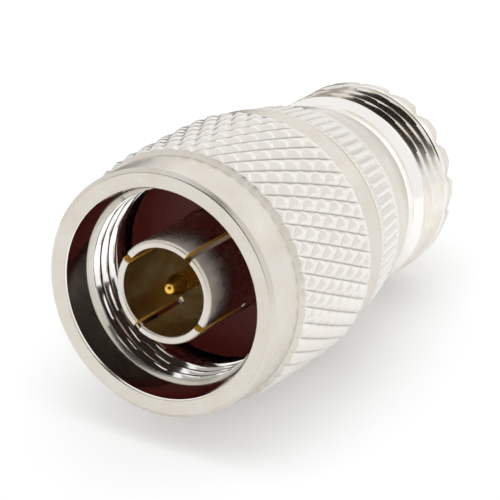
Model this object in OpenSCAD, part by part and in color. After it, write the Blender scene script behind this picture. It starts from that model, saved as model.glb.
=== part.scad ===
// Coaxial adapter: plug with a knurled nut at one end, threaded jack with a toothed rim at the other.
// Millimetres. The axis is +Z, the nut's front rim lies on z = 0 and the toothed rim is on top.

/* [Coupling nut] */
// Outside diameter of the plain bands
nut_od = 19.3; // [18.8:0.1:20]
// Length from front rim to rear edge
nut_length = 17; // [16:0.1:18]
// Length of the plain band behind the rim
front_band = 4.15; // [3.5:0.05:5]
// Length of the plain band at the rear
rear_band = 2.7; // [2:0.1:3.5]
// Bevel on the outer edges
nut_edge = 0.3; // [0.15:0.05:0.5]
// Diameter of the smooth mouth
mouth_d = 16.3; // [16.1:0.1:16.8]
// Depth of the smooth mouth
mouth_depth = 2.4; // [2:0.1:2.8]
// Crest diameter of the inner thread
thread_crest_d = 14.8; // [14.6:0.1:15.2]
// Diameter of the clear space behind the thread
relief_d = 16.1; // [15.9:0.1:16.4]

/* [Diamond knurl] */
// Grooves of each hand round the nut
knurl_count = 48; // [40:1:56]
// Step from the bands up to the grooves
knurl_rise = 0.27; // [0.15:0.01:0.4]
// Depth from point to groove
knurl_depth = 0.28; // [0.2:0.02:0.4]
// Distance between rows of points along the nut
knurl_row = 1.4; // [1.1:0.1:1.8]
// Turn of the pattern on the nut
knurl_turn = 4.9; // [0:0.1:7.5]
// Lean of the pattern from its front to its rear end, degrees
knurl_lean = -2.6; // [-4:0.1:4]

/* [Collar] */
// Diameter at the front of the collar
collar_d = 18.55; // [18:0.05:19]
// Length of the collar
collar_length = 8.4; // [7.8:0.1:9]
// Taper of the barred part, degrees each side
collar_taper = 10.4; // [8:0.2:11]
// Extra drop of the rounded rear end
collar_drop = 0.45; // [0.3:0.05:0.5]
// Bevel on the collar's front edge
collar_edge = 0.2; // [0.1:0.05:0.3]
// Bars round the collar
bar_count = 66; // [54:1:72]
// Length of each bar
bar_length = 3.85; // [3:0.05:4.2]
// Width of each bar
bar_width = 0.46; // [0.3:0.02:0.55]
// Height of each bar
bar_height = 0.2; // [0.1:0.02:0.3]

/* [Jack] */
// Outside diameter of the threaded barrel
barrel_d = 15.7; // [15.6:0.02:16]
// Length of the barrel behind the collar
barrel_length = 7.1; // [6.6:0.1:8]
// Diameter of the neck between collar and barrel
neck_d = 14.5; // [14.2:0.1:14.8]
// Length of that neck
neck_length = 1.05; // [0.8:0.05:1.4]
// Diameter inside the toothed rim
jack_bore_d = 12.8; // [12.4:0.1:13]
// Teeth on the rim, an even number
tooth_count = 18; // [12:2:24]
// Depth of the notches between teeth
tooth_depth = 1.4; // [0.8:0.05:1.5]
// Width of each notch at the rim
notch_width = 1.5; // [1.1:0.05:1.6]
// Bevel along the outside of the teeth
tooth_bevel = 0.35; // [0.2:0.01:0.6]
// Length of that bevel along the axis
tooth_bevel_length = 1.2; // [0.6:0.05:1.3]

/* [Plug contacts] */
// Outside diameter of the slotted sleeve
sleeve_d = 8.12; // [7.9:0.02:8.2]
// Inside diameter of the slotted sleeve
sleeve_bore = 6.82; // [6.7:0.02:7.06]
// Distance of the sleeve's tip behind the nut's rim
sleeve_back = 0.43; // [0.2:0.01:0.9]
// Length of the slots
slot_length = 6.4; // [5:0.1:7]
// Width of the slots
slot_width = 0.5; // [0.4:0.05:0.8]
// Turn of the slots about the axis
slot_turn = 46; // [0:1:90]
// Diameter of the centre pin
pin_d = 1.65; // [1.6:0.01:1.7]
// Distance of the pin's tip behind the nut's rim
pin_back = 1.1; // [0.8:0.05:1.5]
// Outside diameter of the jack's centre socket
socket_od = 5.8; // [5.4:0.1:6]
// Bore of the jack's centre socket
socket_bore = 4; // [3.96:0.01:4.06]
// Depth of the socket's bore
socket_depth = 9; // [8:0.1:10]
// Width of the slots in the socket
socket_slot = 0.5; // [0.3:0.05:0.7]
// Length of the slots in the socket
socket_slot_length = 5; // [4:0.1:6]

/* [Seal, ring and insulators] */
// Distance of the gasket's face behind the nut's rim
gasket_back = 8.6; // [8.4:0.1:9]
// Thickness of the gasket
gasket_thickness = 1.5; // [1.2:0.1:1.7]
// Diameter of the body inside the nut
shank_d = 14.4; // [14:0.1:14.6]
// Diameter of the body's bore
body_bore_d = 10; // [9.6:0.1:10.4]
// Section of the retaining ring along the axis
ring_section = 0.9; // [0.7:0.1:1]
// Open gap of the retaining ring
ring_gap = 2; // [1.5:0.1:3]
// Length of the front insulator
front_insulator_length = 4; // [3.5:0.1:5.4]
// Height of the rear insulator's raised collar
insulator_step = 1.2; // [0.8:0.1:1.5]

/* [Clearances] */
// Radial clearance round the gasket, inside the nut
gasket_clear = 0.35; // [0.2:0.05:0.6]
// Radial running clearance of the nut on the body
run_clear = 0.08; // [0.04:0.01:0.1]
// Gap between the nut's rear edge and the collar
rear_gap = 0.3; // [0.2:0.05:0.4]
// Clearance round the retaining ring
ring_clear = 0.12; // [0.1:0.02:0.2]

/* [Hidden] */
$fn = 96;
// Reach of the cuts past the faces that they open
over = 1;

// Nut
nut_r = nut_od / 2;
mouth_r = mouth_d / 2;
crest_r = thread_crest_d / 2;
relief_r = relief_d / 2;
root_r = nut_r + knurl_rise;
knurl_r = root_r + knurl_depth;
knurl_end_r = root_r + knurl_depth / 2;
knurl_from = front_band;
knurl_to = nut_length - rear_band;
knurl_rows = max(2, round((knurl_to - knurl_from) / knurl_row));
knurl_cols = 2 * knurl_count;
knurl_step = (knurl_to - knurl_from) / knurl_rows;
mouth_edge = 0.12;
thread_lead = 0.35;
thread_clear = 2.2;
thread_to = gasket_back - thread_clear;

// Body inside the nut
seat_z = gasket_back + gasket_thickness;
shank_r = shank_d / 2;
nut_bore_r = shank_r + run_clear;
gasket_r = relief_r - gasket_clear;
gasket_edge = 0.2;
shank_edge = 0.3;
relief_over = 0.3;
relief_to = seat_z + relief_over;
ring_place = 3;
ring_z = seat_z + ring_place;
ring_half = 0.7;
ring_in = shank_r - ring_half;
ring_out = shank_r + ring_half;
ring_slack = 0.14;
ring_play = 0.02;
body_bore_r = body_bore_d / 2;

// Collar
collar_z = nut_length + rear_gap;
collar_r = collar_d / 2;
collar_end = collar_z + collar_length;
taper_share = 0.56;
taper_length = collar_length * taper_share;
dome_steps = 6;
bar_gap = 0.1;
bar_from = collar_z + collar_edge + bar_gap;
bar_root = 0.4;

// Jack
barrel_r = barrel_d / 2;
neck_r = neck_d / 2;
jack_bore_r = jack_bore_d / 2;
rim_z = collar_end + barrel_length;
insulator_back = 3;
insulator_z = rim_z - insulator_back;
insulator_head = 1.7;
ledge_z = insulator_z - insulator_head;
insulator_wall = 1;
bore_edge = 0.25;
notch_turn = -1;
notch_floor = 0.12;
barrel_edge = 0.1;
barrel_z = collar_end + neck_length;

// Contacts
sleeve_r = sleeve_d / 2;
sleeve_in = sleeve_bore / 2;
tip_lead = 0.16;
tip_inside = 0.12;
tip_outside = 0.2;
tip_slope = 0.35;
flange_length = 3.9;
plug_end = seat_z + flange_length;
pin_r = pin_d / 2;
step_r = 1.5;
step_lead = 1;
step_z = plug_end - step_lead;
socket_r = socket_od / 2;
socket_in = socket_bore / 2;
socket_lead = 2;
socket_z = plug_end + socket_lead;
socket_back = 0.9;
socket_tip = rim_z - socket_back;
socket_edge = 0.3;
socket_turn = 20;
pin_nose = 1.4;
nose_r = pin_r / 2;
nose_angle = 75;
nose_steps = 5;

metal = "#d8d1c4";
gold = "#c9a24a";
red = "#4a1414";
white = "#e8e4da";

// Radius of the collar at a distance behind its front
function collar_at(d) =
    collar_r - d * tan(collar_taper)
    - collar_drop * pow(max(0, d - taper_length) / (collar_length - taper_length), 2);

// Radius of the knurl's points in a row, lower at both ends
function point_r(k) = k == 0 || k == knurl_rows ? knurl_end_r : knurl_r;

// Point of the knurl's grid, a point or a groove crossing by turns
function knurl_point(c, k) =
    let (
        r = (c + k) % 2 == 0 ? root_r : point_r(k),
        a = c * 360 / knurl_cols + knurl_turn + knurl_lean * k / knurl_rows
    )
    [r * cos(a), r * sin(a), knurl_from + k * knurl_step];

// Index of a grid point
function knurl_index(c, k) = k * knurl_cols + c % knurl_cols;

// The two faces of a grid square, split along its groove
function knurl_square(c, k) =
    let (
        a = knurl_index(c, k),
        b = knurl_index(c + 1, k),
        d = knurl_index(c + 1, k + 1),
        e = knurl_index(c, k + 1)
    )
    (c + k) % 2 == 0 ? [[a, d, b], [a, e, d]] : [[a, e, b], [b, e, d]];

// Ring of diamond points as one closed solid
module diamond_knurl() {
    points = [
        for (k = [0 : knurl_rows], c = [0 : knurl_cols - 1]) knurl_point(c, k),
        [0, 0, knurl_from],
        [0, 0, knurl_to]
    ];
    low = (knurl_rows + 1) * knurl_cols;
    sides = [
        for (k = [0 : knurl_rows - 1], c = [0 : knurl_cols - 1], f = knurl_square(c, k)) f
    ];
    ends = [
        for (c = [0 : knurl_cols - 1])
            each [
                [low, knurl_index(c, 0), knurl_index(c + 1, 0)],
                [low + 1, knurl_index(c + 1, knurl_rows), knurl_index(c, knurl_rows)]
            ]
    ];
    polyhedron(points = points, faces = concat(sides, ends), convexity = 6);
}

// Turned outside of the nut, without its knurl
module nut_blank() {
    rotate_extrude()
        polygon([
            [0, 0],
            [nut_r - nut_edge, 0],
            [nut_r, nut_edge],
            [nut_r, nut_length - nut_edge],
            [nut_r - nut_edge, nut_length],
            [0, nut_length]
        ]);
}

// Bored inside of the nut: mouth, thread, clear space, running bore and ring groove
module nut_inside() {
    rotate_extrude()
        polygon([
            [0, -over],
            [mouth_r + mouth_edge + over, -over],
            [mouth_r, mouth_edge],
            [mouth_r, mouth_depth],
            [crest_r, mouth_depth + thread_lead],
            [crest_r, thread_to],
            [relief_r, thread_to],
            [relief_r, relief_to],
            [nut_bore_r, relief_to],
            [nut_bore_r, ring_z - ring_slack],
            [ring_out + ring_clear, ring_z - ring_slack],
            [ring_out + ring_clear, ring_z + ring_section + ring_slack],
            [nut_bore_r, ring_z + ring_section + ring_slack],
            [nut_bore_r, nut_length + over],
            [0, nut_length + over]
        ]);
}

module coupling_nut() {
    color(metal)
        difference() {
            union() {
                nut_blank();
                diamond_knurl();
            }
            nut_inside();
        }
}

// Open spring ring that keeps the nut on the body
module retaining_ring() {
    color(metal)
        translate([0, 0, ring_z])
            difference() {
                cylinder(h = ring_section, r = ring_out);
                translate([0, 0, -over])
                    cylinder(h = ring_section + 2 * over, r = ring_in);
                translate([0, -ring_gap / 2, -over])
                    cube([ring_out + over, ring_gap, ring_section + 2 * over]);
            }
}

module gasket() {
    color(red)
        rotate_extrude()
            polygon([
                [sleeve_r, gasket_back],
                [gasket_r - gasket_edge, gasket_back],
                [gasket_r, gasket_back + gasket_edge],
                [gasket_r, seat_z - gasket_edge],
                [gasket_r - gasket_edge, seat_z],
                [sleeve_r, seat_z]
            ]);
}

// Turned outside of the body: shank, ring groove, rounded collar, neck and barrel
module body_blank() {
    rotate_extrude()
        polygon(concat(
            [
                [0, seat_z],
                [shank_r - shank_edge, seat_z],
                [shank_r, seat_z + shank_edge],
                [shank_r, ring_z - ring_play],
                [ring_in, ring_z - ring_play],
                [ring_in, ring_z + ring_section + ring_slack],
                [shank_r, ring_z + ring_section + ring_slack],
                [shank_r, collar_z],
                [collar_r - collar_edge, collar_z],
                [collar_at(collar_edge), collar_z + collar_edge]
            ],
            [
                for (i = [0 : dome_steps])
                    let (d = taper_length + i * (collar_length - taper_length) / dome_steps)
                    [collar_at(d), collar_z + d]
            ],
            [
                [neck_r, collar_end],
                [neck_r, barrel_z],
                [barrel_r - barrel_edge, barrel_z],
                [barrel_r, barrel_z + barrel_edge],
                [barrel_r, rim_z - tooth_bevel_length],
                [barrel_r - tooth_bevel, rim_z],
                [0, rim_z]
            ]
        ));
}

// Bored inside of the body, with a ledge for the rear insulator
module body_inside() {
    rotate_extrude()
        polygon([
            [0, seat_z - over],
            [body_bore_r, seat_z - over],
            [body_bore_r, ledge_z],
            [jack_bore_r, ledge_z],
            [jack_bore_r, rim_z - bore_edge],
            [jack_bore_r + bore_edge + over, rim_z + over],
            [0, rim_z + over]
        ]);
}

// Straight bars along the tapered part of the collar
module collar_bars() {
    for (i = [0 : bar_count - 1])
        rotate([0, 0, (i + 0.5) * 360 / bar_count])
            translate([collar_at(bar_from - collar_z), 0, bar_from])
                rotate([0, -collar_taper, 0])
                    translate([-bar_root, -bar_width / 2, 0])
                        cube([bar_root + bar_height, bar_width, bar_length / cos(collar_taper)]);
}

// Notches across the rim, each cutting both sides
module rim_notches() {
    for (i = [0 : tooth_count / 2 - 1])
        rotate([0, 0, i * 360 / tooth_count + notch_turn])
            translate([0, 0, rim_z])
                rotate([90, 0, 90])
                    linear_extrude(height = barrel_d + 2 * over, center = true)
                        polygon([
                            [-notch_floor, -tooth_depth],
                            [notch_floor, -tooth_depth],
                            [notch_width / 2, 0],
                            [notch_width / 2, over],
                            [-notch_width / 2, over],
                            [-notch_width / 2, 0]
                        ]);
}

module adapter_body() {
    color(metal)
        difference() {
            union() {
                body_blank();
                collar_bars();
            }
            body_inside();
            rim_notches();
        }
}

// Slotted sleeve of the plug, pressed into the body
module outer_contact() {
    color(metal)
        difference() {
            rotate_extrude()
                polygon([
                    [sleeve_in, sleeve_back + tip_lead],
                    [sleeve_in + tip_inside, sleeve_back],
                    [sleeve_r - tip_outside, sleeve_back],
                    [sleeve_r, sleeve_back + tip_slope],
                    [sleeve_r, seat_z],
                    [body_bore_r, seat_z],
                    [body_bore_r, plug_end],
                    [sleeve_in, plug_end]
                ]);
            for (q = [0, 90])
                rotate([0, 0, slot_turn + q])
                    translate([-sleeve_d, -slot_width / 2, sleeve_back - over])
                        cube([2 * sleeve_d, slot_width, slot_length + over]);
        }
}

module front_insulator() {
    color(white)
        rotate_extrude()
            polygon([
                [pin_r, plug_end - front_insulator_length],
                [sleeve_in, plug_end - front_insulator_length],
                [sleeve_in, plug_end],
                [step_r, plug_end],
                [step_r, step_z],
                [pin_r, step_z]
            ]);
}

module rear_insulator() {
    color(white)
        rotate_extrude()
            polygon([
                [step_r, plug_end],
                [body_bore_r, plug_end],
                [body_bore_r, ledge_z],
                [jack_bore_r, ledge_z],
                [jack_bore_r, insulator_z],
                [socket_r + insulator_wall, insulator_z],
                [socket_r + insulator_wall, insulator_z + insulator_step],
                [socket_r, insulator_z + insulator_step],
                [socket_r, socket_z],
                [step_r, socket_z]
            ]);
}

// Pin of the plug and slotted socket of the jack in one turned piece
module centre_contact() {
    color(gold)
        difference() {
            rotate_extrude()
                polygon(concat(
                    [
                        for (i = [0 : nose_steps])
                            let (a = i * nose_angle / nose_steps)
                            [nose_r * sin(a), pin_back + nose_r * (1 - cos(a))]
                    ],
                    [
                        [pin_r, pin_back + pin_nose],
                        [pin_r, step_z],
                        [step_r, step_z],
                        [step_r, socket_z],
                        [socket_r, socket_z],
                        [socket_r, socket_tip - socket_edge],
                        [socket_r - socket_edge, socket_tip],
                        [socket_in + socket_edge, socket_tip],
                        [socket_in, socket_tip - socket_edge],
                        [socket_in, socket_tip - socket_depth],
                        [0, socket_tip - socket_depth - socket_in / 2]
                    ]
                ));
            for (q = [0, 90])
                rotate([0, 0, q + socket_turn])
                    translate([-socket_od, -socket_slot / 2, socket_tip - socket_slot_length])
                        cube([2 * socket_od, socket_slot, socket_slot_length + over]);
        }
}

coupling_nut();
retaining_ring();
gasket();
adapter_body();
outer_contact();
front_insulator();
rear_insulator();
centre_contact();
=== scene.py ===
"""Looks of the coaxial adapter: turned nickel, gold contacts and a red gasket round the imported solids."""

import logging
import math
from dataclasses import dataclass, field
from enum import Enum
from typing import Any, Callable, Sequence, Union

import bmesh
import bpy
import numpy as np
from bpy.types import Material, Mesh, Node, NodeSocket, NodeTree, Object
from mathutils import Matrix, Vector


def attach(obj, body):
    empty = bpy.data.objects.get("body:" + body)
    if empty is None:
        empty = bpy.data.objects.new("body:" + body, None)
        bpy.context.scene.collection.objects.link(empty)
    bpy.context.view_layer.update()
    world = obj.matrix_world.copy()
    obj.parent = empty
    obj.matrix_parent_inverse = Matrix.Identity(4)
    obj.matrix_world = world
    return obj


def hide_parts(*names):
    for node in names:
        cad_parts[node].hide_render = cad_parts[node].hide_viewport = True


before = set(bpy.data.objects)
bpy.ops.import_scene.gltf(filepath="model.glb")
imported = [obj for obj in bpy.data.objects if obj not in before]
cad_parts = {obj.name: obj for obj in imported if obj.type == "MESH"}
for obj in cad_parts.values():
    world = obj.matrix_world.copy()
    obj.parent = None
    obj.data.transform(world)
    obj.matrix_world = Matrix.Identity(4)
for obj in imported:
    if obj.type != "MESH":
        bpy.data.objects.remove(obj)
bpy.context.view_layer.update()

LOG = logging.getLogger("coax_adapter")
MM = 0.001
TURN = 2 * math.pi

# Steps that round off one edge of a turned piece, and the one that an edge out of view gets, the distance of
# the row that keeps the flat beside it flat, and the largest share of a flat that one rounding takes up.
ARC_STEPS = 3
HIDDEN_STEPS = 1
HOLD_MM = 0.03
ROUND_SHARE = 0.42
# A row with a smaller radius than this, in millimetres, is a point on the axis.
ON_AXIS = 1e-6
# Edges of threads that bend more than this stay crisp.
CRISP = math.radians(34)

# What a link of a node starts from, the kinds of node that are used most, and the inputs of a colour mix.
Output = Union[Node, NodeSocket]
MATH = "ShaderNodeMath"
VECTOR = "ShaderNodeVectorMath"
RANGE = "ShaderNodeMapRange"
MIX = "ShaderNodeMix"
NOISE = "ShaderNodeTexNoise"
NAMED = "GeometryNodeInputNamedAttribute"
STORE = "GeometryNodeStoreNamedAttribute"
SHARE, FIRST, SECOND = 0, 6, 7

# Levels of a noise between which a tint comes in, and those that hold nearly all of it.
TINT_SPAN = {"From Min": 0.35, "From Max": 0.7}
FULL_SPAN = {"From Min": 0.3, "From Max": 0.7}


class Body(Enum):
    """Bodies that a piece can ride on."""

    ADAPTER = "adapter"
    NUT = "nut"


class Slot(Enum):
    """Material slots."""

    NICKEL = "nickel"
    GASKET = "gasket"
    INSULATOR = "insulator"
    GOLD = "gold"


class Zone(Enum):
    """Stretches of a turned surface that a node tree shapes further."""

    PLAIN = "plain"
    KNURL = "knurl"
    THREAD = "thread"
    BARS = "bars"


class Wear(Enum):
    """Values of a point that the nickel finish reads: edge wear, polish and painted shade in grooves."""

    EDGE = "edge"
    POLISH = "polish"
    GROOVE = "groove"


class TubeFace(Enum):
    """Material numbers on a slotted tube."""

    OUTSIDE = 0
    WALL = 1
    BORE = 2


# Small tools


def linear(colour: str) -> tuple[float, float, float, float]:
    """Turn an sRGB hex colour into linear light.

    Args:
        colour: Colour as "#rrggbb".

    Returns:
        Red, green, blue and an alpha of 1.
    """
    parts = [int(colour[i : i + 2], 16) / 255 for i in (1, 3, 5)]
    light = [c / 12.92 if c <= 0.04045 else ((c + 0.055) / 1.055) ** 2.4 for c in parts]
    return (light[0], light[1], light[2], 1.0)


def cells(size_mm: float) -> float:
    """Scale of a pattern whose cells measure so many millimetres."""
    return 1 / (size_mm * MM)


def add_node(tree: NodeTree, kind: str, links: dict | None = None, **settings: Any) -> Node:
    """Add one node with its settings, values and links.

    Args:
        tree: Tree that gets the node.
        kind: Node type.
        links: Input name or number to a value, another node's output, or a node, which stands for the
            first of its outputs that is on.
        settings: Properties of the node.

    Returns:
        The new node.
    """
    node = tree.nodes.new(kind)
    for name, value in settings.items():
        setattr(node, name, value)
    for key, value in (links or {}).items():
        if isinstance(value, Node):
            value = next(socket for socket in value.outputs if socket.enabled)
        if isinstance(value, NodeSocket):
            tree.links.new(value, node.inputs[key])
        else:
            node.inputs[key].default_value = value
    return node


def blank_material(name: str) -> tuple[Material, NodeTree]:
    """Start a material.

    Args:
        name: Name of the material.

    Returns:
        The material and its empty node tree.
    """
    material = bpy.data.materials.new(name)
    material.use_nodes = True
    material.node_tree.nodes.clear()
    return material, material.node_tree


def smooth_mesh(name: str, points: np.ndarray, faces: Sequence[Sequence[int]]) -> Mesh:
    """Make a smooth-shaded mesh from points in millimetres.

    Args:
        name: Name of the mesh.
        points: Array of points, in millimetres.
        faces: Corner numbers of each face.

    Returns:
        The mesh, in metres.
    """
    mesh = bpy.data.meshes.new(name)
    mesh.from_pydata((np.asarray(points) * MM).tolist(), [], faces)
    mesh.polygons.foreach_set("use_smooth", [True] * len(mesh.polygons))
    mesh.update()
    return mesh


def settle(piece: Object) -> None:
    """Turn a piece with modifiers into a plain mesh.

    Args:
        piece: Object whose modifiers are taken into its mesh.
    """
    bpy.context.view_layer.update()
    shaped = piece.evaluated_get(bpy.context.evaluated_depsgraph_get())
    mesh = bpy.data.meshes.new_from_object(shaped)
    mesh.name = piece.name
    piece.modifiers.clear()
    piece.data = mesh


# Turned surfaces


@dataclass(frozen=True)
class Corner:
    """Corner of a turned profile, in millimetres, with the radius and the steps of its rounding."""

    r: float
    z: float
    round: float = 0.0
    polish: float = 0.0
    steps: int = ARC_STEPS

    @property
    def ends(self) -> tuple[np.ndarray, np.ndarray]:
        """First and last point, which are the same."""
        point = np.array((self.r, self.z))
        return point, point


@dataclass(frozen=True)
class Run:
    """Straight stretch of a turned profile with evenly spaced rows.

    Its zone's shape comes in over a ramp at each end, from a low share.
    """

    r: float
    z: float
    r_end: float
    z_end: float
    rows: int
    zone: Zone = Zone.PLAIN
    ramp: float = 0.0
    polish: float = 0.0
    low: float = 0.0

    @property
    def ends(self) -> tuple[np.ndarray, np.ndarray]:
        """First and last point."""
        return np.array((self.r, self.z)), np.array((self.r_end, self.z_end))


Profile = Sequence[Union[Corner, Run]]


@dataclass(frozen=True)
class Row:
    """One circle of points on a turned surface."""

    r: float
    z: float
    zone: Zone = Zone.PLAIN
    weight: float = 0.0
    edge: float = 0.0
    polish: float = 0.0
    step: int = 0


def corner_rows(corner: Corner, before: np.ndarray, after: np.ndarray) -> list[Row]:
    """Round one corner of a profile.

    Args:
        corner: The corner.
        before: Point ahead of it.
        after: Point behind it.

    Returns:
        Rows along the rounding, with a holding row on each side where there is room.
    """
    point = corner.ends[0]
    if corner.round <= 0:
        return [Row(corner.r, corner.z, polish=corner.polish)]
    ahead, behind = before - point, after - point
    reach = [float(np.linalg.norm(v)) for v in (ahead, behind)]
    ahead, behind = ahead / reach[0], behind / reach[1]
    half = math.acos(max(-1.0, min(1.0, float(ahead @ behind)))) / 2
    cut = min(corner.round / math.tan(half), ROUND_SHARE * min(reach))
    radius = cut * math.tan(half)
    middle = ahead + behind
    centre = point + middle / np.linalg.norm(middle) * (radius / math.sin(half))
    first, last = point + ahead * cut - centre, point + behind * cut - centre
    sweep = math.pi - 2 * half
    arc = []
    for i in range(corner.steps + 1):
        share = i / corner.steps
        turned = math.sin((1 - share) * sweep) * first + math.sin(share * sweep) * last
        at = centre + turned / math.sin(sweep)
        arc.append(Row(at[0], at[1], edge=math.sin(math.pi * share), polish=corner.polish))
    held = []
    for way, room in ((ahead, reach[0]), (behind, reach[1])):
        at = point + way * (cut + HOLD_MM)
        held.append([Row(at[0], at[1], polish=corner.polish)] if room > cut + 2 * HOLD_MM else [])
    return held[0] + arc + held[1]


def run_rows(run: Run) -> list[Row]:
    """Spread rows along a straight stretch.

    Args:
        run: The stretch.

    Returns:
        Its rows, with the share of the zone's shape that each takes.
    """
    first, last = run.ends
    length = float(np.linalg.norm(last - first))
    rows = []
    for i in range(run.rows + 1):
        share = i / run.rows if run.rows else 0.0
        at = first + share * (last - first)
        near = min(share, 1 - share) * length
        weight = 1.0 if run.ramp <= 0 else min(1.0, near / run.ramp)
        weight = run.low + (1 - run.low) * weight * weight * (3 - 2 * weight)
        rows.append(Row(at[0], at[1], run.zone, weight, polish=run.polish, step=i))
    return rows


def profile_rows(items: Profile) -> list[Row]:
    """Turn a closed profile into rows, anticlockwise with the radius to the right.

    Args:
        items: Corners and straight stretches round the profile.

    Returns:
        All rows in order.
    """
    rows: list[Row] = []
    for i, item in enumerate(items):
        if isinstance(item, Run):
            rows += run_rows(item)
        else:
            rows += corner_rows(item, items[i - 1].ends[1], items[(i + 1) % len(items)].ends[0])
    r = np.array([row.r for row in rows])
    z = np.array([row.z for row in rows])
    area = float(np.sum(r * np.roll(z, -1) - np.roll(r, -1) * z))
    return rows if area > 0 else rows[::-1]


def turn_mesh(
    name: str,
    rows: Sequence[Row],
    columns: int,
    cell: int = 0,
    twist: Callable[[float], float] = lambda z: 0.0,
) -> Mesh:
    """Turn closed rows round the axis.

    Args:
        name: Name of the mesh.
        rows: Rows from profile_rows. Rows on the axis become one point.
        columns: Points in each circle.
        cell: Rows and columns in half a knurl cell, whose faces are split along the grooves.
        twist: Angle that the columns start from at a height.

    Returns:
        A closed mesh with the rows' values as attributes.
    """
    angles = np.arange(columns) * TURN / columns
    points: list[tuple[float, float, float]] = []
    starts: list[int] = []
    owners: list[Row] = []
    for row in rows:
        starts.append(len(points))
        count = columns if row.r > ON_AXIS else 1
        for a in angles[:count] + twist(row.z):
            points.append((row.r * math.cos(a), row.r * math.sin(a), row.z))
        owners += [row] * count
    faces: list[tuple[int, ...]] = []
    for i, row in enumerate(rows):
        k = (i + 1) % len(rows)
        after = rows[k]
        pole, next_pole = row.r <= ON_AXIS, after.r <= ON_AXIS
        if pole and next_pole:
            continue
        split = cell and row.zone is Zone.KNURL and after.zone is Zone.KNURL
        for j in range(columns):
            n = (j + 1) % columns
            a = starts[i] + (0 if pole else j)
            b = starts[i] + (0 if pole else n)
            c = starts[k] + (0 if next_pole else n)
            d = starts[k] + (0 if next_pole else j)
            if pole:
                faces.append((a, c, d))
            elif next_pole:
                faces.append((a, b, c))
            elif split and (j // cell + min(row.step, after.step) // cell) % 2 == 0:
                faces += [(a, b, c), (a, c, d)]
            elif split:
                faces += [(a, b, d), (b, c, d)]
            else:
                faces.append((a, b, c, d))
    mesh = smooth_mesh(name, np.array(points), faces)
    values = {Wear.EDGE.value: [o.edge for o in owners], Wear.POLISH.value: [o.polish for o in owners]}
    for zone in (Zone.KNURL, Zone.THREAD, Zone.BARS):
        values[zone.value] = [o.weight if o.zone is zone else 0.0 for o in owners]
    for label, data in values.items():
        if max(data) > 0:
            mesh.attributes.new(label, "FLOAT", "POINT").data.foreach_set("value", data)
    return mesh


# Node trees that shape turned surfaces


class SurfaceTree:
    """Geometry Nodes tree that moves the points of a turned surface by a rule of angle and height."""

    def __init__(self, name: str, zone: Zone, sizes: Sequence[str]) -> None:
        """Start the tree with its inputs and the usual coordinates.

        Args:
            name: Name of the tree.
            zone: Zone whose rows it shapes by their weight.
            sizes: Names of its number inputs.
        """
        self.tree = bpy.data.node_groups.new(name, "GeometryNodeTree")
        face = self.tree.interface
        face.new_socket("Mesh", in_out="INPUT", socket_type="NodeSocketGeometry")
        for size in sizes:
            face.new_socket(size, in_out="INPUT", socket_type="NodeSocketFloat")
        face.new_socket("Finish", in_out="INPUT", socket_type="NodeSocketMaterial")
        face.new_socket("Mesh", in_out="OUTPUT", socket_type="NodeSocketGeometry")
        self.given = self.add("NodeGroupInput").outputs
        self.mesh: Output = self.given["Mesh"]
        self.weight = self.add(NAMED, {"Name": zone.value}, data_type="FLOAT")
        xyz = self.add("ShaderNodeSeparateXYZ", {0: self.add("GeometryNodeInputPosition")}).outputs
        self.height = xyz["Z"]
        self.angle = self.add(MATH, {0: xyz["Y"], 1: xyz["X"]}, operation="ARCTAN2")
        self.turn = self.add(MATH, {0: self.angle, 1: 1 / TURN}, operation="MULTIPLY")
        across = self.add("ShaderNodeCombineXYZ", {"X": xyz["X"], "Y": xyz["Y"]})
        self.radius = self.add(VECTOR, {0: across}, operation="LENGTH")
        self.outward = self.add(VECTOR, {0: across}, operation="NORMALIZE")

    def add(self, kind: str, links: dict | None = None, **settings: Any) -> Node:
        """Add a node to the tree."""
        return add_node(self.tree, kind, links, **settings)

    def wave(self, phase: Output) -> Node:
        """Straight-sided wave: 0 at whole phases and 1 halfway between them."""
        half = self.add(MATH, {0: phase, 1: 0.5}, operation="PINGPONG")
        return self.add(MATH, {0: half, 1: 2.0}, operation="MULTIPLY")

    def lifted(self, lift: Output) -> Node:
        """Offset that lifts the zone's points outwards by a distance in metres."""
        share = self.add(MATH, {0: lift, 1: self.weight}, operation="MULTIPLY")
        return self.add(VECTOR, {0: self.outward, "Scale": share}, operation="SCALE")

    def rub(self, depth: Output, amount: Output) -> None:
        """Add wear where the zone's surface stands highest.

        Args:
            depth: 0 at the highest points and 1 at the lowest.
            amount: Wear of the highest points.
        """
        worn = self.add(NAMED, {"Name": Wear.EDGE.value}, data_type="FLOAT")
        high = self.add(MATH, {0: 1.0, 1: depth}, operation="SUBTRACT")
        share = self.add(MATH, {0: high, 1: self.weight}, operation="MULTIPLY")
        total = self.add(MATH, {0: share, 1: amount, 2: worn}, operation="MULTIPLY_ADD")
        self.mesh = self.add(STORE, {"Geometry": self.mesh, "Name": Wear.EDGE.value, "Value": total})

    def shade_grooves(self, wave: Output, reach: Output, most: Output | float = 1.0) -> None:
        """Store painted shade at the bottom of grooves, which the nickel finish darkens.

        Args:
            wave: 0 at the bottom of a groove and 1 halfway to the next.
            reach: Part of the wave that the mark takes.
            most: Strength of the mark at the bottom.
        """
        low = self.add(RANGE, {"Value": wave, "From Max": reach, "To Min": most, "To Max": 0.0})
        share = self.add(MATH, {0: low, 1: self.weight}, operation="MULTIPLY")
        self.mesh = self.add(STORE, {"Geometry": self.mesh, "Name": Wear.GROOVE.value, "Value": share})

    def close(self, offset: Output) -> NodeTree:
        """End the tree: move the points, realize and give the finish.

        Args:
            offset: Offset of each point.

        Returns:
            The finished tree.
        """
        moved = self.add("GeometryNodeSetPosition", {"Geometry": self.mesh, "Offset": offset})
        plain = self.add("GeometryNodeRealizeInstances", {0: moved})
        dressed = self.add("GeometryNodeSetMaterial", {"Geometry": plain, "Material": self.given["Finish"]})
        self.add("NodeGroupOutput", {0: dressed})
        return self.tree


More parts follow.
